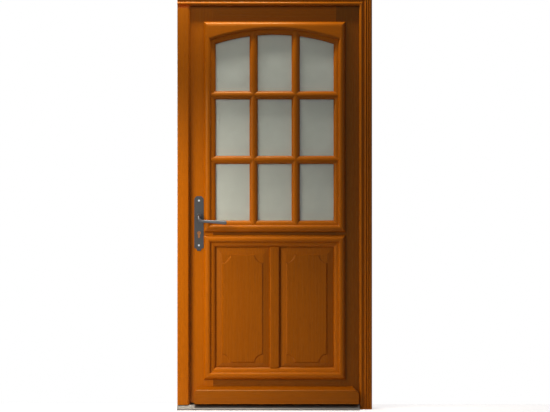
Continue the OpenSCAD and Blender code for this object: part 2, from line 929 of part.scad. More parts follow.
// glazing bars: rounded across, square at the foot; across the bar, then up from the glass
bar_foot = 4;
module bar_profile(h) {
  m = bar_w / 2;
  rise = h - bar_foot;
  r = (m * m + rise * rise) / (2 * rise);
  intersection() {
    translate([0, h - r]) circle(r = r, $fn = 96);
    translate([-m, 0]) square([bar_w, h]);
  }
}
over = foot_u - slide_play;
module nose_block() {
  intersection() {
    nose_round();
    translate([0, -back_lip - 1]) square([foot_u + 1, back_lip + 1 + nose_h]);
  }
}
module upright_bar(x) {
  difference() {
    intersection() {
      translate([x, y_g0, 0]) run_z(glass_z0 - over, crown_z + over) mirror([0, 1]) bar_profile(bar_h);
      rod_y(y_face - bar_h, y_g0 + 1, 0, arch_z, arch_r + over, $fn = arch_fn);
    }
    translate([0, y_face, glass_z0]) run_x(x - bar_w, x + bar_w) mirror([0, 1]) rotate(90) nose_block();
    arch_ring() nose_block();
  }
}
module glazing_bar_left() {
  color(wood) upright_bar(-bar_x);
}
module glazing_bar_right() {
  color(wood) upright_bar(bar_x);
}
module cross_bar(z) {
  difference() {
    translate([0, y_g0, z]) run_x(-sight_x - over, sight_x + over) rotate(90) bar_profile(bar_h);
    for (s = [-1, 1]) {
      translate([s * sight_x, y_face, 0]) run_z(z - bar_w, z + bar_w)
        mirror([s < 0 ? 1 : 0, 0]) mirror([0, 1]) nose_block();
      translate([s * bar_x, y_g0, 0]) run_z(z - bar_w, z + bar_w) mirror([0, 1]) bar_profile(bar_h);
    }
  }
}
module glazing_bar_upper() {
  color(wood) cross_bar(bar_z2);
}
module glazing_bar_lower() {
  color(wood) cross_bar(bar_z1);
}

inner_h = back_lip - 1;
module inner_upright(x) {
  intersection() {
    translate([x, y_g1, 0]) run_z(glass_z0, crown_z) bar_profile(inner_h);
    rod_y(y_g1 - 1, y_back + 1, 0, arch_z, arch_r, $fn = arch_fn);
  }
}
module inner_cross(z) {
  difference() {
    translate([0, y_g1, z]) run_x(-sight_x, sight_x) rotate(-90) bar_profile(inner_h);
    for (s = [-1, 1]) {
      translate([s * bar_x, y_g1, 0]) run_z(z - bar_w, z + bar_w) bar_profile(inner_h);
    }
  }
}
module inner_bar_left() {
  color(wood) inner_upright(-bar_x);
}
module inner_bar_right() {
  color(wood) inner_upright(bar_x);
}
module inner_bar_upper() {
  color(wood) inner_cross(bar_z2);
}
module inner_bar_lower() {
  color(wood) inner_cross(bar_z1);
}

// weatherboard with a drip groove, its upper corners cut off
weather_left = 24;
weather_right = 4;
weather_top = 4;
weather_nose = 4;
end_cut_left = 14;
end_cut_right = 30;
end_cut_drop = 27;
drip_in = 10;
drip_r = 4;
module weatherboard() {
  x0 = -lip_x + weather_left;
  x1 = lip_x - weather_right;
  z0 = leaf_z0;
  z1 = leaf_z0 + weather_h;
  yf = y_face - weather_d;
  color(wood) intersection() {
    run_x(x0, x1) difference() {
      polygon([[y_face, z0], [y_face, z1], [y_face - weather_top, z1],
               [yf + weather_nose, z1 - weather_slope],
               [yf, z1 - weather_slope - weather_nose], [yf, z0]]);
      translate([yf + drip_in, z0]) circle(r = drip_r);
    }
    slab(yf - 1, y_face + 1)
      polygon([[x0, z0], [x1, z0], [x1, z1 - end_cut_drop], [x1 - end_cut_right, z1],
               [x0 + end_cut_left, z1], [x0, z1 - end_cut_drop]]);
  }
}

// lock
module lock_case() {
  w = case_w / 2;
  color(zinc) difference() {
    box([case_x0, y_mid - w, case_z0], [case_x1, y_mid + w, case_z1]);
    box([case_x0 + wall, y_mid - w + wall, case_z0 + wall],
        [case_x1 - wall, y_mid + w - wall, case_z1 - wall]);
    bolt_ports(case_x0 - 1, case_x0 + wall + 1);
    rod_y(y_mid - w - 1, y_mid + w + 1, lock_x, hub_z, hub_r + run_play);
    euro(y_mid - w - 1, y_mid + w + 1, slide_play);
  }
}
module bolt_ports(x0, x1) {
  b = bolt_w / 2 + slide_play;
  box([x0, y_mid - b, latch_z0 - slide_play], [x1, y_mid + b, latch_z1 + slide_play]);
  box([x0, y_mid - b, bolt_z0 - slide_play], [x1, y_mid + b, bolt_z1 + slide_play]);
}
module lock_faceplate() {
  color(zinc) difference() {
    box([-leaf_x, y_mid - face_w / 2, case_z0 - face_over],
        [case_x0, y_mid + face_w / 2, case_z1 + face_over]);
    bolt_ports(-leaf_x - 1, case_x0 + 1);
    face_screw_set(fix_play);
  }
}

// follower: hub with a square hole and a finger that pulls the latch
finger_top = 19;
finger_foot = 4;
finger_w = 5;
finger_t = 5.6;
module lock_follower() {
  q = spindle_w / 2 + run_play;
  color(zinc) difference() {
    union() {
      rod_y(y_mid - case_w / 2, y_mid + case_w / 2, lock_x, hub_z, hub_r);
      box([lock_x - finger_w / 2, y_mid - finger_t / 2, hub_z + finger_foot],
          [lock_x + finger_w / 2, y_mid + finger_t / 2, hub_z + finger_top]);
    }
    box([lock_x - q, y_mid - case_w, hub_z - q], [lock_x + q, y_mid + case_w, hub_z + q]);
  }
}

latch_l = 24;
latch_tip = 2;
arm_t = 2.8;
arm_h = 4;
arm_z = 11.5;
lug_t = 4;
lug_play = 0.6;
module latch_bolt() {
  x0 = -leaf_x - latch_out;
  b = bolt_w / 2;
  lug = lock_x + finger_w / 2 + lug_play;
  color(brass) union() {
    run_z(latch_z0, latch_z1)
      polygon([[x0 + latch_out, y_mid - b], [x0 + latch_l, y_mid - b], [x0 + latch_l, y_mid + b],
               [x0, y_mid + b], [x0, y_mid + b - latch_tip]]);
    box([x0 + latch_l - 1, y_mid + b - arm_t, hub_z + arm_z],
        [lug + lug_t, y_mid + b, hub_z + arm_z + arm_h]);
    box([lug, y_mid - b / 2, hub_z + arm_z], [lug + lug_t, y_mid + b, hub_z + finger_top + 1]);
  }
}

module dead_bolt() {
  b = bolt_w / 2;
  color(zinc) box([bolt_x0, y_mid - b, bolt_z0], [bolt_x0 + bolt_l, y_mid + b, bolt_z1]);
}

// cylinder: the plug carries a cam in a gap of the body
cylinder_out = 2;
y_c0 = y_plate - cylinder_out;
y_c1 = y_plate2 + cylinder_out;
cam_w = 9.6;
cam_play = 0.4;
cam_r = 8;
cam_reach = 15;
cam_room = 0.5;
cam_t = 6;
keyway_w = 2.4;
keyway_h = 9;
keyway_d = 10;
module cylinder_body() {
  color(brass) difference() {
    euro(y_c0, y_c1, 0);
    rod_y(y_c0 - 1, y_c1 + 1, lock_x, key_z, plug_r + run_play);
    rod_y(y_mid - cam_w / 2 - cam_play, y_mid + cam_w / 2 + cam_play, lock_x, key_z, cam_reach + cam_room);
  }
}
module keyway(y0, y1) {
  box([lock_x - keyway_w / 2, y0, key_z - keyway_h / 2], [lock_x + keyway_w / 2, y1, key_z + keyway_h / 2]);
}
module cylinder_plug() {
  color(brass) difference() {
    union() {
      rod_y(y_c0, y_c1, lock_x, key_z, plug_r);
      rod_y(y_mid - cam_w / 2, y_mid + cam_w / 2, lock_x, key_z, cam_r);
      box([lock_x - cam_t / 2, y_mid - cam_w / 2, key_z - cam_reach],
          [lock_x + cam_t / 2, y_mid + cam_w / 2, key_z]);
    }
    keyway(y_c0 - 1, y_c0 + keyway_d);
    keyway(y_c1 - keyway_d, y_c1 + 1);
  }
}

// handle plates and bolts
boss_r = 14;
boss_t = 3;
neck_r = 8;
module plate_outline() {
  m = plate_w / 2;
  translate([lock_x, 0]) difference() {
    polygon([[-m, plate_z0], [m, plate_z0], [m, plate_z1 - plate_cut_z], [m - plate_cut_x, plate_z1],
             [-m + plate_cut_x, plate_z1], [-m, plate_z1 - plate_cut_z]]);
    for (x = [-m, m]) {
      translate([x, plate_z0]) circle(r = plate_foot_r);
    }
  }
}
module handle_plate(y0, y1, b0, b1) {
  color(steel) difference() {
    union() {
      slab(y0, y1) plate_outline();
      rod_y(b0, b1, lock_x, hub_z, boss_r);
    }
    rod_y(b0 - 1, b1 + 1, lock_x, hub_z, neck_r + run_play);
    euro(y0 - 1, y1 + 1, slide_play);
    bolt_holes(y0 - 1, y1 + 1, plate_bolt_r + fix_play);
  }
}
module handle_plate_outer() {
  handle_plate(y_plate, y_face, y_plate - boss_t, y_face);
}
module handle_plate_inner() {
  handle_plate(y_back, y_plate2, y_back, y_plate2 + boss_t);
}
module plate_bolts() {
  color(zinc) union() {
    bolt_holes(y_plate - 1, y_plate2, plate_bolt_r);
    bolt_holes(y_plate - bolt_head_h, y_plate, bolt_head_r);
  }
}

// levers: a round neck in the plate's boss, then a swan neck swept into the grip
function bez(a, b, c, d, t) =
  a * pow(1 - t, 3) + b * 3 * t * pow(1 - t, 2) + c * 3 * t * t * (1 - t) + d * pow(t, 3);
function unit(v) = v / norm(v);
neck_n = 14;
neck_bulge = 12;
neck_back = 8;
neck_sag = 3;
grip_n = 8;
ring_n = 20;
flat = 0.75;
root_r = 8.2;
waist_r = 6.8;
end_r = 10;
end_l = 6;
end_drop = 6;
ferrule_x = 40;
ferrule_r = 8.6;
ferrule_w = 6;
collar_r = 11;
collar_l = 26;
socket_l = 22;
end_turns = [30, 60, 85];
grip_y = grip_out + plate_t;
neck_a = [0, 1 - socket_l, 0];
neck_b = [0, -grip_y - neck_bulge, 0];
neck_c = [-neck_back, -grip_y, -grip_drop - neck_sag];
neck_d = [ferrule_x, -grip_y, -grip_drop];
path = concat(
  [for (i = [0 : neck_n]) bez(neck_a, neck_b, neck_c, neck_d, i / neck_n)],
  [for (i = [1 : grip_n]) let (t = i / grip_n)
    [ferrule_x + (grip_len - end_l - ferrule_x) * t, -grip_y, -grip_drop - end_drop * t]],
  [for (a = end_turns) [grip_len - end_l + end_l * sin(a), -grip_y, -grip_drop - end_drop]]
);
girth = concat(
  [for (i = [0 : neck_n]) root_r + (waist_r - root_r) * i / neck_n],
  [for (i = [1 : grip_n]) waist_r + (end_r - waist_r) * i / grip_n],
  [for (a = end_turns) end_r * cos(a)]
);
last = len(path) - 1;
function along(i) = unit(path[min(i + 1, last)] - path[max(i - 1, 0)]);
function across(i) = unit(cross(along(i), [0, 0, 1]));
function rise(i) = cross(across(i), along(i));
function spoke(i, a) = across(i) * cos(a) * flat + rise(i) * sin(a);
function ring(i) = [for (k = [0 : ring_n - 1]) path[i] + girth[i] * spoke(i, 360 * k / ring_n)];
module grip_sweep() {
  pts = [for (i = [0 : last]) each ring(i)];
  sides = [for (i = [0 : last - 1]) for (k = [0 : ring_n - 1]) let (n = (k + 1) % ring_n)
    [i * ring_n + k, i * ring_n + n, (i + 1) * ring_n + n, (i + 1) * ring_n + k]];
  cap0 = [for (k = [0 : ring_n - 1]) ring_n - 1 - k];
  cap1 = [for (k = [0 : ring_n - 1]) last * ring_n + k];
  polyhedron(pts, concat(sides, [cap0, cap1]), 4);
}
module lever() {
  q = spindle_w / 2 + run_play;
  difference() {
    union() {
      rod_y(-collar_l, -slide_play, 0, 0, neck_r);
      rod_y(-collar_l, -plate_t - boss_t - slide_play, 0, 0, collar_r);
      grip_sweep();
      rod_x(ferrule_x - ferrule_w / 2, ferrule_x + ferrule_w / 2, -grip_y, -grip_drop, ferrule_r);
    }
    box([-q, -socket_l, -q], [q, 1, q]);
  }
}
module lever_outer() {
  color(steel) translate([lock_x, y_face, hub_z]) lever();
}
module lever_inner() {
  color(steel) translate([lock_x, y_back, hub_z]) mirror([0, 1, 0]) lever();
}
module spindle() {
  q = spindle_w / 2;
  color(zinc) box([lock_x - q, y_face - socket_l + 1, hub_z - q],
                  [lock_x + q, y_back + socket_l - 1, hub_z + q]);
}

frame_head();
frame_lock_jamb();
frame_hinge_jamb();
lock_jamb_cover_strip();
threshold();
threshold_seal();
frame_seals();
strike_plate();
hinge_frame_leaf_top();
hinge_frame_leaf_middle();
hinge_frame_leaf_bottom();
hinge_pins();
hinge_washers();
frame_screws();
lock_stile();
hinge_stile();
top_rail();
lock_rail();
bottom_rail();
panel_mullion();
panel_left();
panel_right();
glazing_moulding_top();
glazing_moulding_left();
glazing_moulding_right();
glazing_moulding_bottom();
panel_moulding_top();
panel_moulding_left();
panel_moulding_right();
panel_moulding_bottom();
glass_outer_pane();
glass_spacer();
glass_inner_pane();
glazing_bar_left();
glazing_bar_right();
glazing_bar_upper();
glazing_bar_lower();
inner_bar_left();
inner_bar_right();
inner_bar_upper();
inner_bar_lower();
weatherboard();
lock_case();
lock_faceplate();
handle_plate_outer();
handle_plate_inner();
plate_bolts();
cylinder_body();
hinge_door_leaf_top();
hinge_door_leaf_middle();
hinge_door_leaf_bottom();
leaf_screws();
lever_outer();
lever_inner();
spindle();
lock_follower();
latch_bolt();
dead_bolt();
cylinder_plug();
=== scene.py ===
# %% [markdown]
# # A glazed entrance door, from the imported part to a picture
#
# The construction is finished before this lesson starts: the timber, the glass, the lock and the hinges
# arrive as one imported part, each piece in its place and in metres. The door's outer face looks along
# minus Y, X runs to the right as one stands in front of it, and Z goes up from the underside of the sill.
# Here the part gets what a solid model lacks: finishes, light, a camera, and a few pieces in finer form.

# %% Load the part
import math

import bmesh
import bpy
from mathutils import Matrix, Vector


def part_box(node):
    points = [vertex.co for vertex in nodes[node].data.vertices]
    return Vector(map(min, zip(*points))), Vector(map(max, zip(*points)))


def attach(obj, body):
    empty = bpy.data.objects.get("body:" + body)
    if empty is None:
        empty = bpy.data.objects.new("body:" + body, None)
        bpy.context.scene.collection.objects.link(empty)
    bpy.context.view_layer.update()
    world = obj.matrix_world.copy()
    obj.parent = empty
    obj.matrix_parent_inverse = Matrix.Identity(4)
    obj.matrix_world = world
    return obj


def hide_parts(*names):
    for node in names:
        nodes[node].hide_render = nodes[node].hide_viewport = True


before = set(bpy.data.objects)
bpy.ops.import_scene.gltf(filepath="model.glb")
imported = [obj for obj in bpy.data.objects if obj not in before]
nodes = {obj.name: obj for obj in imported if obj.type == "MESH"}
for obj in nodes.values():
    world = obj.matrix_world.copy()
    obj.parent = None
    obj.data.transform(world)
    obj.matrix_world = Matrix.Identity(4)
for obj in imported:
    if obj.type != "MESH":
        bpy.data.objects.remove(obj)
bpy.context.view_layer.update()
print("CAD nodes:", len(nodes))

# %% [markdown]
# ## Helpers for every finish
#
# Colours are written as the hex numbers a paint chart or a photo gives, which are sRGB. Blender shades
# in linear light, so one function converts them. A second function adds one node to a material: it takes
# the node's settings, and for each input either a plain value or the socket that feeds it. An input goes
# by its name, or by its number where several share a name: on the Mix node the two colours are 6 and 7.
# A third function starts a material and sets what is constant on the shader's own sockets.

# %% Colour and node helpers
def colour(text):
    parts = [int(text[i:i + 2], 16) / 255 for i in (1, 3, 5)]
    linear = [c / 12.92 if c <= 0.04045 else ((c + 0.055) / 1.055) ** 2.4 for c in parts]
    return (*linear, 1.0)


def add(tree, kind, inputs=None, **settings):
    node = tree.nodes.new(kind)
    for name, value in settings.items():
        setattr(node, name, value)
    for name, value in (inputs or {}).items():
        if isinstance(value, bpy.types.NodeSocket):
            tree.links.new(value, node.inputs[name])
        else:
            node.inputs[name].default_value = value
    return node


def new_material(name, **values):
    material = bpy.data.materials.new(name)
    material.use_nodes = True
    tree = material.node_tree
    shader = tree.nodes["Principled BSDF"]
    for socket, value in values.items():
        shader.inputs[socket.replace("_", " ")].default_value = value
    return material, tree, shader


print("sRGB 50 % grey is", round(colour("#808080")[0], 3), "in linear light")

# %% [markdown]
# ## Varnished hardwood
#
# The door looks like a red-brown tropical hardwood under an orange-toned varnish. Three things make
# wood look like wood: growth rings, fine streaks along the grain, and pores, which are short dark
# dashes. All three are stretched along the board, so the finish comes in two versions, one for pieces
# whose grain runs up the door and one for pieces whose grain runs across. At a mitre the two meet, and
# the joint shows as it does on a real frame.
#
# Each board is cut from its own place in a tree. A custom property called plank, one vector for each
# piece, moves the pattern so that no two boards are alike; the heart of the tree lies 3 to 10 centimetres
# in front of the board's middle, which gives the arched figure of a flat-sawn board. A second property
# scales the colour of whole boards up or down. A little of that is how boards from different trees differ;
# most of it is painted shade, standing in for the light falling off across the door and for the shadows
# under the mouldings.
#
# Two things here are not physics. A clear varnish reflects a lamp in the lamp's own colour, but these
# reflections are tinted gold, because the highlights in the photo are golden under lamps nobody knows.
# And they are weaker than a varnish of this IOR would give.

# %% The wood finish
RING_GAP = 0.011
STREAK_WIDTH = 0.0035
PORE_WIDTH = 0.0016     # real vessels are 0.2 mm wide; drawn coarser so that they survive in a picture
GRAIN_STRETCH = 0.045   # a streak is about twenty times as long as it is wide
WAVE_UNIT = 2 * math.pi / 20   # the wave texture's period at scale 1
ARRIS = 0.0012          # how far the sandpaper rounds each sharp edge
SHEEN = 0.22            # 0.5 is what the IOR gives; under a white world that veils the colour of the wood
GLOSS = (0.24, 0.30)    # roughness from the smooth streaks to the open ones
RING_SHARE, STREAK_SHARE, PORE_SHARE = 0.30, 0.75, 0.35   # how strongly each of the three shows
PORE_EDGE = (0.60, 0.74)   # the noise below the first is solid wood, above the second an open pore


def varnished_wood(name, grain):
    material, tree, shader = new_material(name, IOR=1.5, Specular_IOR_Level=SHEEN,
                                          Specular_Tint=colour("#FFF0A8"))
    place = add(tree, "ShaderNodeTexCoord").outputs["Object"]
    plank = add(tree, "ShaderNodeAttribute", attribute_type="OBJECT", attribute_name="plank")
    moved = add(tree, "ShaderNodeVectorMath", {0: place, 1: plank.outputs["Vector"]}, operation="ADD")
    squeeze = [1.0, 1.0, 1.0]
    squeeze["XYZ".index(grain)] = GRAIN_STRETCH
    drawn = add(tree, "ShaderNodeVectorMath",
                {0: moved.outputs[0], 1: squeeze}, operation="MULTIPLY").outputs[0]

    rings = add(tree, "ShaderNodeTexWave",
                {"Vector": drawn, "Scale": WAVE_UNIT / RING_GAP, "Distortion": 3.5, "Detail": 3.0,
                 "Detail Scale": 1.2, "Detail Roughness": 0.6},
                wave_type="RINGS", rings_direction=grain)
    streaks = add(tree, "ShaderNodeTexNoise",
                  {"Vector": drawn, "Scale": 1 / STREAK_WIDTH, "Detail": 4.0, "Roughness": 0.6})
    pores = add(tree, "ShaderNodeTexNoise", {"Vector": drawn, "Scale": 1 / PORE_WIDTH, "Detail": 1.0})
    dashes = add(tree, "ShaderNodeMapRange",
                 {"Value": pores.outputs["Fac"], "From Min": PORE_EDGE[0], "From Max": PORE_EDGE[1]})

    figure = add(tree, "ShaderNodeMath", {0: rings.outputs["Fac"], 1: RING_SHARE}, operation="MULTIPLY")
    both = add(tree, "ShaderNodeMath",
               {0: streaks.outputs["Fac"], 1: STREAK_SHARE, 2: figure.outputs[0]}, operation="MULTIPLY_ADD")
    body = add(tree, "ShaderNodeMix", {"Factor": both.outputs[0], 6: colour("#BC6601"), 7: colour("#AC5801")},
               data_type="RGBA").outputs[2]
    filled = add(tree, "ShaderNodeMath", {0: dashes.outputs[0], 1: PORE_SHARE}, operation="MULTIPLY")
    worn = add(tree, "ShaderNodeMix", {"Factor": filled.outputs[0], 6: body, 7: colour("#5A2C08")},
               data_type="RGBA").outputs[2]
    # painted shade, with some real difference between boards: a factor per board scales the wood colour down
    tone = add(tree, "ShaderNodeAttribute", attribute_type="OBJECT", attribute_name="tone")
    toned = add(tree, "ShaderNodeVectorMath", {0: worn, "Scale": tone.outputs["Fac"]}, operation="SCALE")
    tree.links.new(toned.outputs[0], shader.inputs["Base Color"])

    gloss = add(tree, "ShaderNodeMapRange",
                {"Value": streaks.outputs["Fac"], "To Min": GLOSS[0], "To Max": GLOSS[1]})
    tree.links.new(gloss.outputs[0], shader.inputs["Roughness"])
    rounded = add(tree, "ShaderNodeBevel", {"Radius": ARRIS}, samples=6)
    relief = add(tree, "ShaderNodeBump",
                 {"Height": dashes.outputs[0], "Strength": 0.06, "Distance": 0.0002,
                  "Normal": rounded.outputs["Normal"]}, invert=True)
    tree.links.new(relief.outputs["Normal"], shader.inputs["Normal"])
    return material


# a warm orange brown with streaks that lead the eye up the door
wood_up = varnished_wood("hardwood_clear_varnished_grain_up", "Z")
# the same wood lying down, so that every joint between upright and rail can be seen
wood_across = varnished_wood("hardwood_clear_varnished_grain_across", "X")
print("grain streaks:", round(STREAK_WIDTH / GRAIN_STRETCH * 1000), "mm long")

# %% [markdown]
# ## Obscured glass
#
# The panes are pale grey-green and nothing can be made out through them. They are taken as sandblasted
# glass, which scatters light at its surface. Some light passes through and some comes straight back, so
# the shader is a mixture in equal parts: a rough transmitting surface over a pale diffuse one. A slow
# ripple keeps the large panes from looking like paper.

# %% The glass finish
RIPPLE = 0.060
FROST = 0.0025   # the real pitting is far finer than a picture can show


def frosted_glass(name):
    material, tree, shader = new_material(name, Transmission_Weight=0.5, IOR=1.52)
    place = add(tree, "ShaderNodeTexCoord").outputs["Object"]
    frost = add(tree, "ShaderNodeTexNoise", {"Vector": place, "Scale": 1 / FROST, "Detail": 2.0})
    ripple = add(tree, "ShaderNodeTexNoise", {"Vector": place, "Scale": 1 / RIPPLE, "Detail": 1.0})
    tint = add(tree, "ShaderNodeMix",
               {"Factor": ripple.outputs["Fac"], 6: colour("#DEE3DE"), 7: colour("#D4D9D4")},
               data_type="RGBA").outputs[2]
    tree.links.new(tint, shader.inputs["Base Color"])
    rough = add(tree, "ShaderNodeMapRange", {"Value": frost.outputs["Fac"], "To Min": 0.40, "To Max": 0.55})
    tree.links.new(rough.outputs[0], shader.inputs["Roughness"])
    relief = add(tree, "ShaderNodeBump",
                 {"Height": ripple.outputs["Fac"], "Strength": 0.12, "Distance": 0.002})
    tree.links.new(relief.outputs["Normal"], shader.inputs["Normal"])
    return material


# pale and even, brighter than the wood, with no view through it
glass = frosted_glass("glass_sandblasted_grey_green")
print("ripples in the glass:", round(RIPPLE * 1000), "mm across")

# %% [markdown]
# ## Metals and rubber
#
# The metals differ in colour and in how they were worked, and much less in how they are built: a metallic
# surface whose roughness varies with the grain of its working. One function makes them all. The handle
# plates are iron under a dark patina, and the levers are the same iron, burnished by the hands that use
# them, so they are brighter and smoother. Screws, pins and lock parts are zinc-plated steel, and the hinge
# leaves are the same with a brushed grain. The cylinder, the latch bolt and the hinge washers are brass.
# The sill is aluminium as it leaves the extrusion die, with fine lines along its length. Its grey is
# kept dark, partly as weathered metal and partly as painted shade for the shadow under the weatherboard.
# The seals are black rubber, which is no metal: it only takes the same function with its metal
# set to nothing.

# %% The metal and rubber finishes
def worked_surface(name, low, high, rough, size, stretch=(1, 1, 1), metallic=1.0, edge=0.0004):
    material, tree, shader = new_material(name, Metallic=metallic)
    place = add(tree, "ShaderNodeTexCoord").outputs["Object"]
    drawn = add(tree, "ShaderNodeVectorMath", {0: place, 1: stretch}, operation="MULTIPLY").outputs[0]
    grain = add(tree, "ShaderNodeTexNoise",
                {"Vector": drawn, "Scale": 1 / size, "Detail": 4.0, "Roughness": 0.6}).outputs["Fac"]
    tint = add(tree, "ShaderNodeMix", {"Factor": grain, 6: colour(low), 7: colour(high)}, data_type="RGBA")
    tree.links.new(tint.outputs[2], shader.inputs["Base Color"])
    spread = add(tree, "ShaderNodeMapRange", {"Value": grain, "To Min": rough[0], "To Max": rough[1]})
    tree.links.new(spread.outputs[0], shader.inputs["Roughness"])
    rounded = add(tree, "ShaderNodeBevel", {"Radius": edge}, samples=4)
    relief = add(tree, "ShaderNodeBump",
                 {"Height": grain, "Strength": 0.15, "Distance": 0.0002, "Normal": rounded.outputs["Normal"]})
    tree.links.new(relief.outputs["Normal"], shader.inputs["Normal"])
    return material


# a dark grey with hardly any shine, against which the lever and the bolts stand out
iron = worked_surface("iron_dark_patina", "#38393C", "#4C4D50", (0.42, 0.58), 0.004, metallic=0.85)
# the same iron rubbed brighter, with a soft light along its upper edge
burnished = worked_surface("iron_burnished_by_hands", "#525356", "#68696C", (0.28, 0.40), 0.004)
# cool and bright: the bolt heads show as two white dots
zinc = worked_surface("steel_zinc_plated", "#C4C8CC", "#DDE0E2", (0.22, 0.38), 0.003)
# pale grey with fine upright lines
hinge_steel = worked_surface("steel_zinc_bright_brushed", "#A9A8A4", "#C6C4BF", (0.28, 0.40), 0.002,
                             (1, 1, 0.1))
# a dull brown gold, the one warm spot on the handle plate
brass = worked_surface("brass_dull", "#86593A", "#9C6B46", (0.30, 0.45), 0.002)
# a quiet grey bar under the door, its dark grey partly painted shade under the weatherboard
aluminium = worked_surface("aluminium_as_extruded", "#62605D", "#787673", (0.36, 0.50), 0.0015, (0.02, 1, 1))
# a black line round the leaf, seen when the door stands open
rubber = worked_surface("rubber_seal_black", "#242321", "#302E2C", (0.62, 0.78), 0.002, metallic=0.0)
hard_finishes = [iron, burnished, zinc, hinge_steel, brass, aluminium, rubber]
print("metal and rubber finishes:", [finish.name for finish in hard_finishes])

# %% [markdown]
# ## Give every piece its finish
#
# The lists follow the construction: first the direction of the grain, then the metals. The plank vector puts
# the heart of the tree outside each board, a different distance for each one. The golden ratio spreads the
# numbers evenly without any chance in it, so each run gives the same boards. The tones were found by trial
# against the photo, where the panels, the rails and the hinge stile look darker than the rest. Most of
# that darkening is painted shade, for light that falls off across the door and for the shadows under the
# mouldings; a little of it is boards that differ.

# %% Assign the finishes
SIDES = ["left", "right"]
ROWS = ["upper", "lower"]
HINGES = ["top", "middle", "bottom"]

grain_up = ["frame_lock_jamb", "frame_hinge_jamb", "lock_jamb_cover_strip", "lock_stile", "hinge_stile",
            "panel_mullion"]
for side in SIDES:
    grain_up += [f"{kind}_{side}" for kind in
                 ("panel", "glazing_moulding", "panel_moulding", "glazing_bar", "inner_bar")]

grain_across = ["frame_head", "top_rail", "lock_rail", "bottom_rail", "weatherboard"]
grain_across += [f"{kind}_moulding_{end}" for kind in ("glazing", "panel") for end in ("top", "bottom")]
grain_across += [f"{kind}_{row}" for kind in ("glazing_bar", "inner_bar") for row in ROWS]

finishes = {
    wood_up: grain_up,
    wood_across: grain_across,
    glass: ["glass_outer_pane", "glass_inner_pane"],
    iron: ["handle_plate_outer", "handle_plate_inner"],
    burnished: ["lever_outer", "lever_inner"],
    zinc: ["plate_bolts", "strike_plate", "lock_case", "lock_faceplate", "lock_follower", "dead_bolt",
           "spindle", "hinge_pins", "frame_screws", "leaf_screws"],
    hinge_steel: [f"hinge_{part}_leaf_{h}" for part in ("frame", "door") for h in HINGES],
    brass: ["cylinder_body", "cylinder_plug", "latch_bolt", "hinge_washers"],
    aluminium: ["threshold", "glass_spacer"],
    rubber: ["frame_seals", "threshold_seal"],
}


def give(piece, material):
    piece.data.materials.clear()
    piece.data.materials.append(material)


for material, names in finishes.items():
    for name in names:
        give(nodes[name], material)

GOLDEN = (math.sqrt(5) - 1) / 2
HEART_NEAR, HEART_RANGE, HEART_ASIDE = 0.03, 0.07, 0.05   # where the heart of the tree lies, in metres
LOG_LENGTH = 3
# painted shade: factors below one darken boards where shade falls, the hinge stile and the lock and bottom
# rails most
board_tones_and_painted_shade = {"panel_left": 0.8, "panel_right": 0.78, "hinge_stile": 0.5, "lock_jamb_cover_strip": 1.05,
         "panel_mullion": 0.8, "weatherboard": 0.75, "lock_rail": 0.4, "bottom_rail": 0.5, "top_rail": 0.9}
for count, name in enumerate(grain_up + grain_across):
    low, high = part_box(name)
    turn = (count * GOLDEN) % 1
    aside = HEART_ASIDE * (turn - 0.5)
    heart = Vector((aside, HEART_NEAR + HEART_RANGE * turn, aside))
    along = 2 if name in grain_up else 0
    shift = heart - (low + high) / 2
    shift[along] = LOG_LENGTH * turn
    nodes[name]["plank"] = list(shift)
    nodes[name]["tone"] = board_tones_and_painted_shade.get(name, 1.0)

bare = sorted(set(nodes) - {n for names in finishes.values() for n in names})
print("wooden pieces:", len(grain_up + grain_across), "pieces without a finish:", bare)

# %% [markdown]
# ## The levers: a line to follow
#
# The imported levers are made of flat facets, and a polished bend shows every one of them. A lever is a bar
# that is forged round a curve, so it is built here the same way: rings of points are strung along a line
# and joined into a skin. The line leaves the plate, turns down and to the side in a swan neck, and runs
# out along the door; the rings start thick, thin towards the ferrule, and swell again to the rounded end.
# Sizes are in millimetres from the lever's axis at the face of the stile.

# %% The line of a lever
REACH = 53         # from the face of the stile to the middle of the grip
DROP = 28          # how far the swan neck comes down
FERRULE_AT = 40    # where the ring round the bar sits
LENGTH = 137       # from the axis to the end of the grip
END = 6            # length of the rounded end
TILT = 6           # how far the grip sinks towards its end
NECK_START = 20    # where the bend begins, inside the collar
BULGE, BACK, SAG = 12, 8, 3           # how far the bend swings outwards, backwards and down
ROOT, WAIST, SWELL = 8.2, 6.8, 10.0   # half heights at the plate, the ferrule and the end
NECK_RINGS, GRIP_RINGS, END_RINGS = 48, 24, 10
LAST_TURN = math.radians(88)          # the end stops short of a point, so that its last ring has a width


def bezier(points, t):
    a, b, c, d = (Vector(p) for p in points)
    return a * (1 - t) ** 3 + b * 3 * t * (1 - t) ** 2 + c * 3 * t * t * (1 - t) + d * t ** 3


def lever_line():
    bend = [(0, -NECK_START, 0), (0, -REACH - BULGE, 0), (-BACK, -REACH, -DROP - SAG),
            (FERRULE_AT, -REACH, -DROP)]
    stations = []
    for i in range(NECK_RINGS + 1):
        t = i / NECK_RINGS
        stations.append((bezier(bend, t), ROOT + (WAIST - ROOT) * t))
    for i in range(1, GRIP_RINGS + 1):
        t = i / GRIP_RINGS
        x = FERRULE_AT + (LENGTH - END - FERRULE_AT) * t
        stations.append((Vector((x, -REACH, -DROP - TILT * t)), WAIST + (SWELL - WAIST) * t))
    for i in range(1, END_RINGS + 1):
        a = LAST_TURN * i / END_RINGS
        tip = Vector((LENGTH - END + END * math.sin(a), -REACH, -DROP - TILT))
        stations.append((tip, SWELL * math.cos(a)))
    return stations


print("rings along a lever:", len(lever_line()))

# %% [markdown]
# ## The levers: rings and skin
#
# The bar is made oval, so its rings are flattened and set square to the line. A collar and a ferrule would
# be turned on a lathe, so theirs are circles round an axis, given by a list of distances and radii. Either
# kind is joined into a closed skin by four-sided faces, with a cap at both ends.

# %% Rings and skin
RING_POINTS = 40
FLATTENING = 0.75   # the bar is thinner front to back than it is tall
TURNS = [2 * math.pi * k / RING_POINTS for k in range(RING_POINTS)]


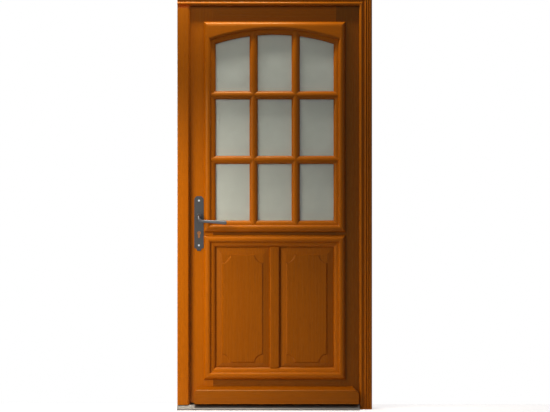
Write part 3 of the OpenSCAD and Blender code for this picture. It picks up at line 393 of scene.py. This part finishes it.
def swept_rings(stations):
    rings = []
    for i, (centre, radius) in enumerate(stations):
        before = stations[max(i - 1, 0)][0]
        after = stations[min(i + 1, len(stations) - 1)][0]
        ahead = (after - before).normalized()
        side = ahead.cross(Vector((0, 0, 1))).normalized()
        up = side.cross(ahead)
        rings.append([centre + radius * (side * math.cos(a) * FLATTENING + up * math.sin(a)) for a in TURNS])
    return rings


def turned_rings(profile, centre, axis):
    ahead = Vector(axis)
    side = Vector((0, 0, 1))
    up = ahead.cross(side)
    return [[Vector(centre) + ahead * s + r * (side * math.cos(a) + up * math.sin(a)) for a in TURNS]
            for s, r in profile]


def skin(mesh, rings):
    loops = [[mesh.verts.new(p) for p in ring] for ring in rings]
    for first, second in zip(loops, loops[1:]):
        for k in range(len(first)):
            n = (k + 1) % len(first)
            mesh.faces.new((first[k], first[n], second[n], second[k]))
    mesh.faces.new(list(reversed(loops[0])))
    mesh.faces.new(loops[-1])


print("points in a ring:", RING_POINTS)

# %% [markdown]
# ## The levers: put together
#
# Collar, bar and ferrule make one piece. It is built round the origin and then set on the spindle, on
# either side of the door; the inner lever is the mirror image of the outer one. The collar starts 0.3 mm
# in front of the plate's boss, so that it can turn. Each lever rides the body that turns and takes the
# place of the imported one.

# %% Both levers
MM = 0.001
CRISP = math.radians(40)   # edges sharper than this keep their line, all others are shaded smooth
COLLAR = [(0.3, 7.9), (6.3, 7.9), (6.31, 10.0), (7.3, 11.0), (25.0, 11.0), (26.0, 10.2)]
FERRULE = [(-3, 6.6), (-2.6, 8.0), (-1.6, 8.6), (1.6, 8.6), (2.6, 8.0), (3, 6.6)]


def finish_mesh(name, mesh, material, body, node):
    bmesh.ops.recalc_face_normals(mesh, faces=mesh.faces[:])
    for face in mesh.faces:
        face.smooth = True
    for edge in mesh.edges:
        if len(edge.link_faces) == 2 and edge.calc_face_angle() > CRISP:
            edge.smooth = False
    data = bpy.data.meshes.new(name)
    mesh.to_mesh(data)
    mesh.free()
    piece = bpy.data.objects.new(name, data)
    bpy.context.scene.collection.objects.link(piece)
    give(piece, material)
    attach(piece, body)
    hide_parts(node)
    return piece


def lever(name, node, hub, outward):
    mesh = bmesh.new()
    skin(mesh, swept_rings(lever_line()))
    skin(mesh, turned_rings(COLLAR, (0, 0, 0), (0, -1, 0)))
    skin(mesh, turned_rings(FERRULE, (FERRULE_AT, -REACH, -DROP), (1, 0, 0)))
    mesh.transform(Matrix.Translation(hub) @ Matrix.Diagonal((MM, MM * outward, MM, 1)))
    return finish_mesh(name, mesh, burnished, "lever", node)


spindle_low, spindle_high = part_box("spindle")
hub = (spindle_low + spindle_high) / 2
faces_low, faces_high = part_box("lock_stile")
swept = [lever("lever_outer_swept", "lever_outer", Vector((hub.x, faces_low.y, hub.z)), 1),
         lever("lever_inner_swept", "lever_inner", Vector((hub.x, faces_high.y, hub.z)), -1)]
for piece in swept:
    print(piece.name, len(piece.data.polygons), "faces")

# %% [markdown]
# ## Round the bolt heads
#
# The two bolts that hold the handle plates have raised heads, turned with a rounded edge that catches the
# light as a small bright dot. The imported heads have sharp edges. A Weld modifier joins the faces, which
# arrive separate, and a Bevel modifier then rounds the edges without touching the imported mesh.

# %% Bolt heads
bolts = nodes["plate_bolts"]
weld = bolts.modifiers.new("join_faces", "WELD")
weld.merge_threshold = 0.00001
dome = bolts.modifiers.new("round_edges", "BEVEL")
dome.width = 0.0024
dome.segments = 5
dome.limit_method = "ANGLE"
dome.angle_limit = math.radians(50)
print("bolt heads rounded by", dome.width * 1000, "mm")

# %% [markdown]
# ## Lamps
#
# The main light is a soft panel to the left, at half the height of the door and turned downwards, with a
# limited spread, like a studio lamp behind a honeycomb grid. It is aimed at the lower left of the door,
# so the boards are brightest there and fall off towards the upper right. A narrow strip overhead draws
# the bright lines along the upper edges of the mouldings and bars; two weak panels in front soften the
# shade; one more, behind the door, lights the glass from within.
#
# Nobody knows the lamps of the photo. Places and strengths were found by trial, until the bright and the
# dark sides came close to it.

# %% Lamps
def area_light(name, place, target, width, height, watts, tint, spread=180):
    data = bpy.data.lights.new(name, "AREA")
    data.shape = "RECTANGLE"
    data.size = width
    data.size_y = height
    data.energy = watts
    data.spread = math.radians(spread)
    data.color = colour(tint)[:3]
    lamp = bpy.data.objects.new(name, data)
    bpy.context.scene.collection.objects.link(lamp)
    lamp.location = place
    lamp.rotation_euler = (Vector(target) - Vector(place)).to_track_quat("-Z", "Y").to_euler()
    return lamp


lamps = [
    area_light("key_left", (-1.0, -0.9, 1.08), (-0.35, 0.0, 0.28), 0.5, 1.4, 5.4, "#FFF4E0", 80),
    area_light("top_strip", (-0.45, -0.22, 2.75), (-0.45, -0.05, 1.0), 1.1, 0.1, 22, "#FFFAEC"),
    area_light("fill_top", (-0.5, -1.2, 2.6), (-0.3, 0.0, 1.5), 0.6, 0.6, 4.5, "#FFF0D8"),
    area_light("fill_front", (-0.4, -5.0, 2.9), (0.0, 0.0, 1.6), 1.6, 1.2, 0.5, "#EAF2FF"),
    area_light("back_room", (-0.9, 1.2, 1.3), (0.0, 0.0, 1.3), 1.2, 1.2, 24, "#FFF8F4"),
]
print("lamps:", len(lamps), "with", round(sum(lamp.data.energy for lamp in lamps), 1), "W together")

# %% [markdown]
# ## Floor and sky
#
# The door is shown alone on white. The floor is a pale slab that takes the door's shadow. Floor and world
# are white to the camera, in reflections and through glass, so that metal, varnish and panes show the same
# white room. As sources of soft light they stay weak, so the white does not wash out the door's edges. The
# Light Path node tells the kinds of rays apart: each of its outputs is one for rays of its own kind and
# nothing for the rest. A ray can be of two kinds, so their sum is held at one, and serves as a switch.

# %% Floor and sky
FLOOR_HALF = 3
FLOOR_BACK = 0.12
FLOOR_GLOW = 0.7   # added to what the lamps give, so that the floor comes close to white


def seen(tree):
    path = add(tree, "ShaderNodeLightPath").outputs
    direct = add(tree, "ShaderNodeMath",
                 {0: path["Is Camera Ray"], 1: path["Is Glossy Ray"]}, operation="ADD")
    return add(tree, "ShaderNodeMath", {0: direct.outputs[0], 1: path["Is Transmission Ray"]},
               operation="ADD", use_clamp=True).outputs[0]


floor_mesh = bpy.data.meshes.new("floor")
corners = [(-FLOOR_HALF, -FLOOR_HALF, 0), (FLOOR_HALF, -FLOOR_HALF, 0),
           (FLOOR_HALF, FLOOR_BACK, 0), (-FLOOR_HALF, FLOOR_BACK, 0)]
floor_mesh.from_pydata(corners, [], [(0, 1, 2, 3)])
floor = bpy.data.objects.new("floor", floor_mesh)
bpy.context.scene.collection.objects.link(floor)
# pale and matt, so that hardly more than the shadow can be seen of it
screed = worked_surface("floor_pale_screed", "#CCC8CA", "#D4D0D2", (0.75, 0.85), 0.02, metallic=0.0)
pale = screed.node_tree
surface = pale.nodes["Principled BSDF"]
surface.inputs["Emission Color"].default_value = colour("#FFFFFF")
whiter = add(pale, "ShaderNodeMath", {0: seen(pale), 1: FLOOR_GLOW}, operation="MULTIPLY")
pale.links.new(whiter.outputs[0], surface.inputs["Emission Strength"])
give(floor, screed)

world = bpy.data.worlds.new("studio_white")
bpy.context.scene.world = world
world.use_nodes = True
sky = world.node_tree
shade = add(sky, "ShaderNodeMix", {"Factor": seen(sky), 6: colour("#222222"), 7: colour("#FFFFFF")},
            data_type="RGBA")
sky.links.new(shade.outputs[2], sky.nodes["Background"].inputs["Color"])
print("floor reaches", FLOOR_BACK, "m behind the door's middle plane")

# %% [markdown]
# ## Camera
#
# In the photo the door is seen square on: uprights stay upright and level edges stay level. A level camera
# almost on the door's own axis gives that, with a long lens so that the mouldings do not splay. How far
# away the photo was taken from is not known; six metres is a guess.

# %% Camera
DISTANCE = 6.0
SHOWN_WIDTH = 2.678   # how much of the door's plane fits into the picture, in metres
PLANE_FRONT = 0.02    # that plane lies this far in front of the frame's middle
ASIDE = 0.0017        # the photo's middle is not quite the door's middle
EYE = 0.9886
SENSOR = 36.0
camera_data = bpy.data.cameras.new("square_on")
camera_data.sensor_width = SENSOR
camera_data.lens = SENSOR * (DISTANCE - PLANE_FRONT) / SHOWN_WIDTH
camera = bpy.data.objects.new("square_on", camera_data)
bpy.context.scene.collection.objects.link(camera)
camera.location = (ASIDE, -DISTANCE, EYE)
camera.rotation_euler = (math.radians(90), 0, 0)
bpy.context.scene.camera = camera
bpy.context.scene.view_settings.view_transform = "Standard"
print("lens:", round(camera_data.lens, 1), "mm")
